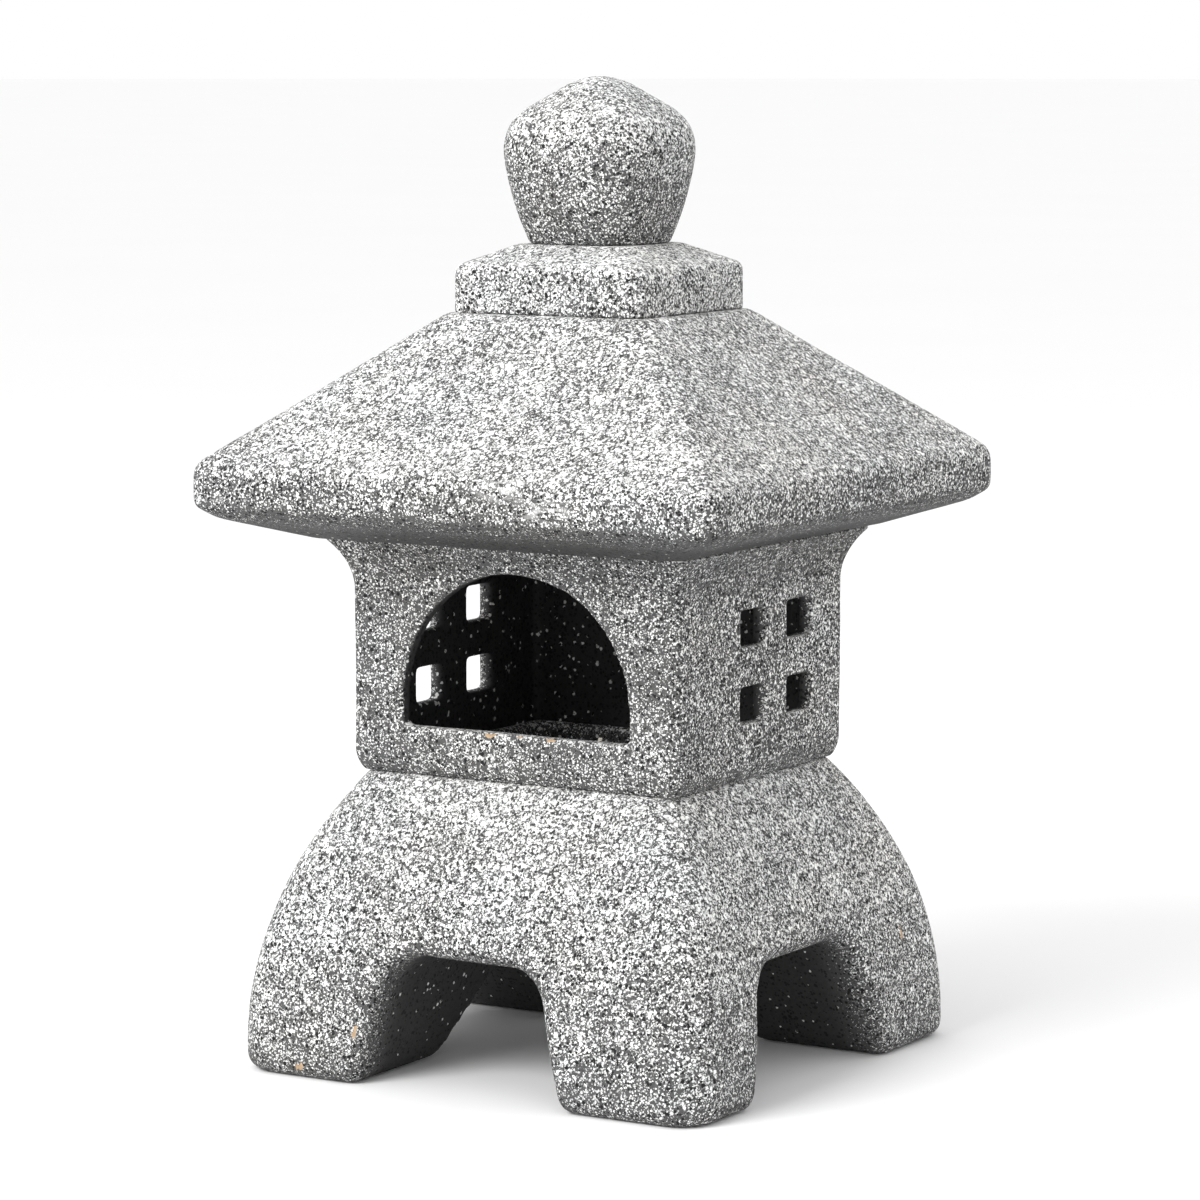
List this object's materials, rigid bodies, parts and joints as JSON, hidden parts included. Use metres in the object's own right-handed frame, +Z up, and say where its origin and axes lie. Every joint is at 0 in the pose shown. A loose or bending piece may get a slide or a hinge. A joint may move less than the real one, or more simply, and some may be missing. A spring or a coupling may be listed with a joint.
{
  "type": "garden lantern",
  "caption": "Dry-stacked stone garden lantern on four legs, with an arched mouth, side windows, a square hipped roof and a tea light inside.",
  "frame": {"origin": "on the ground under the middle of the lantern", "axes": "+Z up; the arched mouth faces -Y; the windows face +X and -X"},
  "size_m": [0.1818, 0.1818, 0.3012],
  "materials": {
    "granite_fleck": "matte",
    "cup_aluminium": "satin",
    "wax": "satin",
    "wick_cotton": "matte",
    "tinplate": "satin"
  },
  "bodies": {
    "stand": {"base": "granite_fleck"},
    "light_box": {"firebox": "granite_fleck"},
    "roof_cap": {"roof": "granite_fleck"},
    "collar_block": {"collar": "granite_fleck"},
    "jewel": {"finial": "granite_fleck"},
    "tea_light": {"tealight_cup": "cup_aluminium", "tealight_wax": "wax", "tealight_wick": "wick_cotton", "wick_sustainer": "tinplate"}
  },
  "joints": [
    {"name": "light_box_lift", "type": "slide", "parent": "stand", "child": "light_box", "axis": [0, 0, 1], "range_m": [0, 0.06]},
    {"name": "roof_lift", "type": "slide", "parent": "light_box", "child": "roof_cap", "axis": [0, 0, 1], "range_m": [0, 0.08]},
    {"name": "collar_lift", "type": "slide", "parent": "roof_cap", "child": "collar_block", "axis": [0, 0, 1], "range_m": [0, 0.04]},
    {"name": "jewel_lift", "type": "slide", "parent": "collar_block", "child": "jewel", "axis": [0, 0, 1], "range_m": [0, 0.04]},
    {"name": "tea_light_lift", "type": "slide", "parent": "stand", "child": "tea_light", "axis": [0, 0, 1], "range_m": [0, 0.045]}
  ]
}
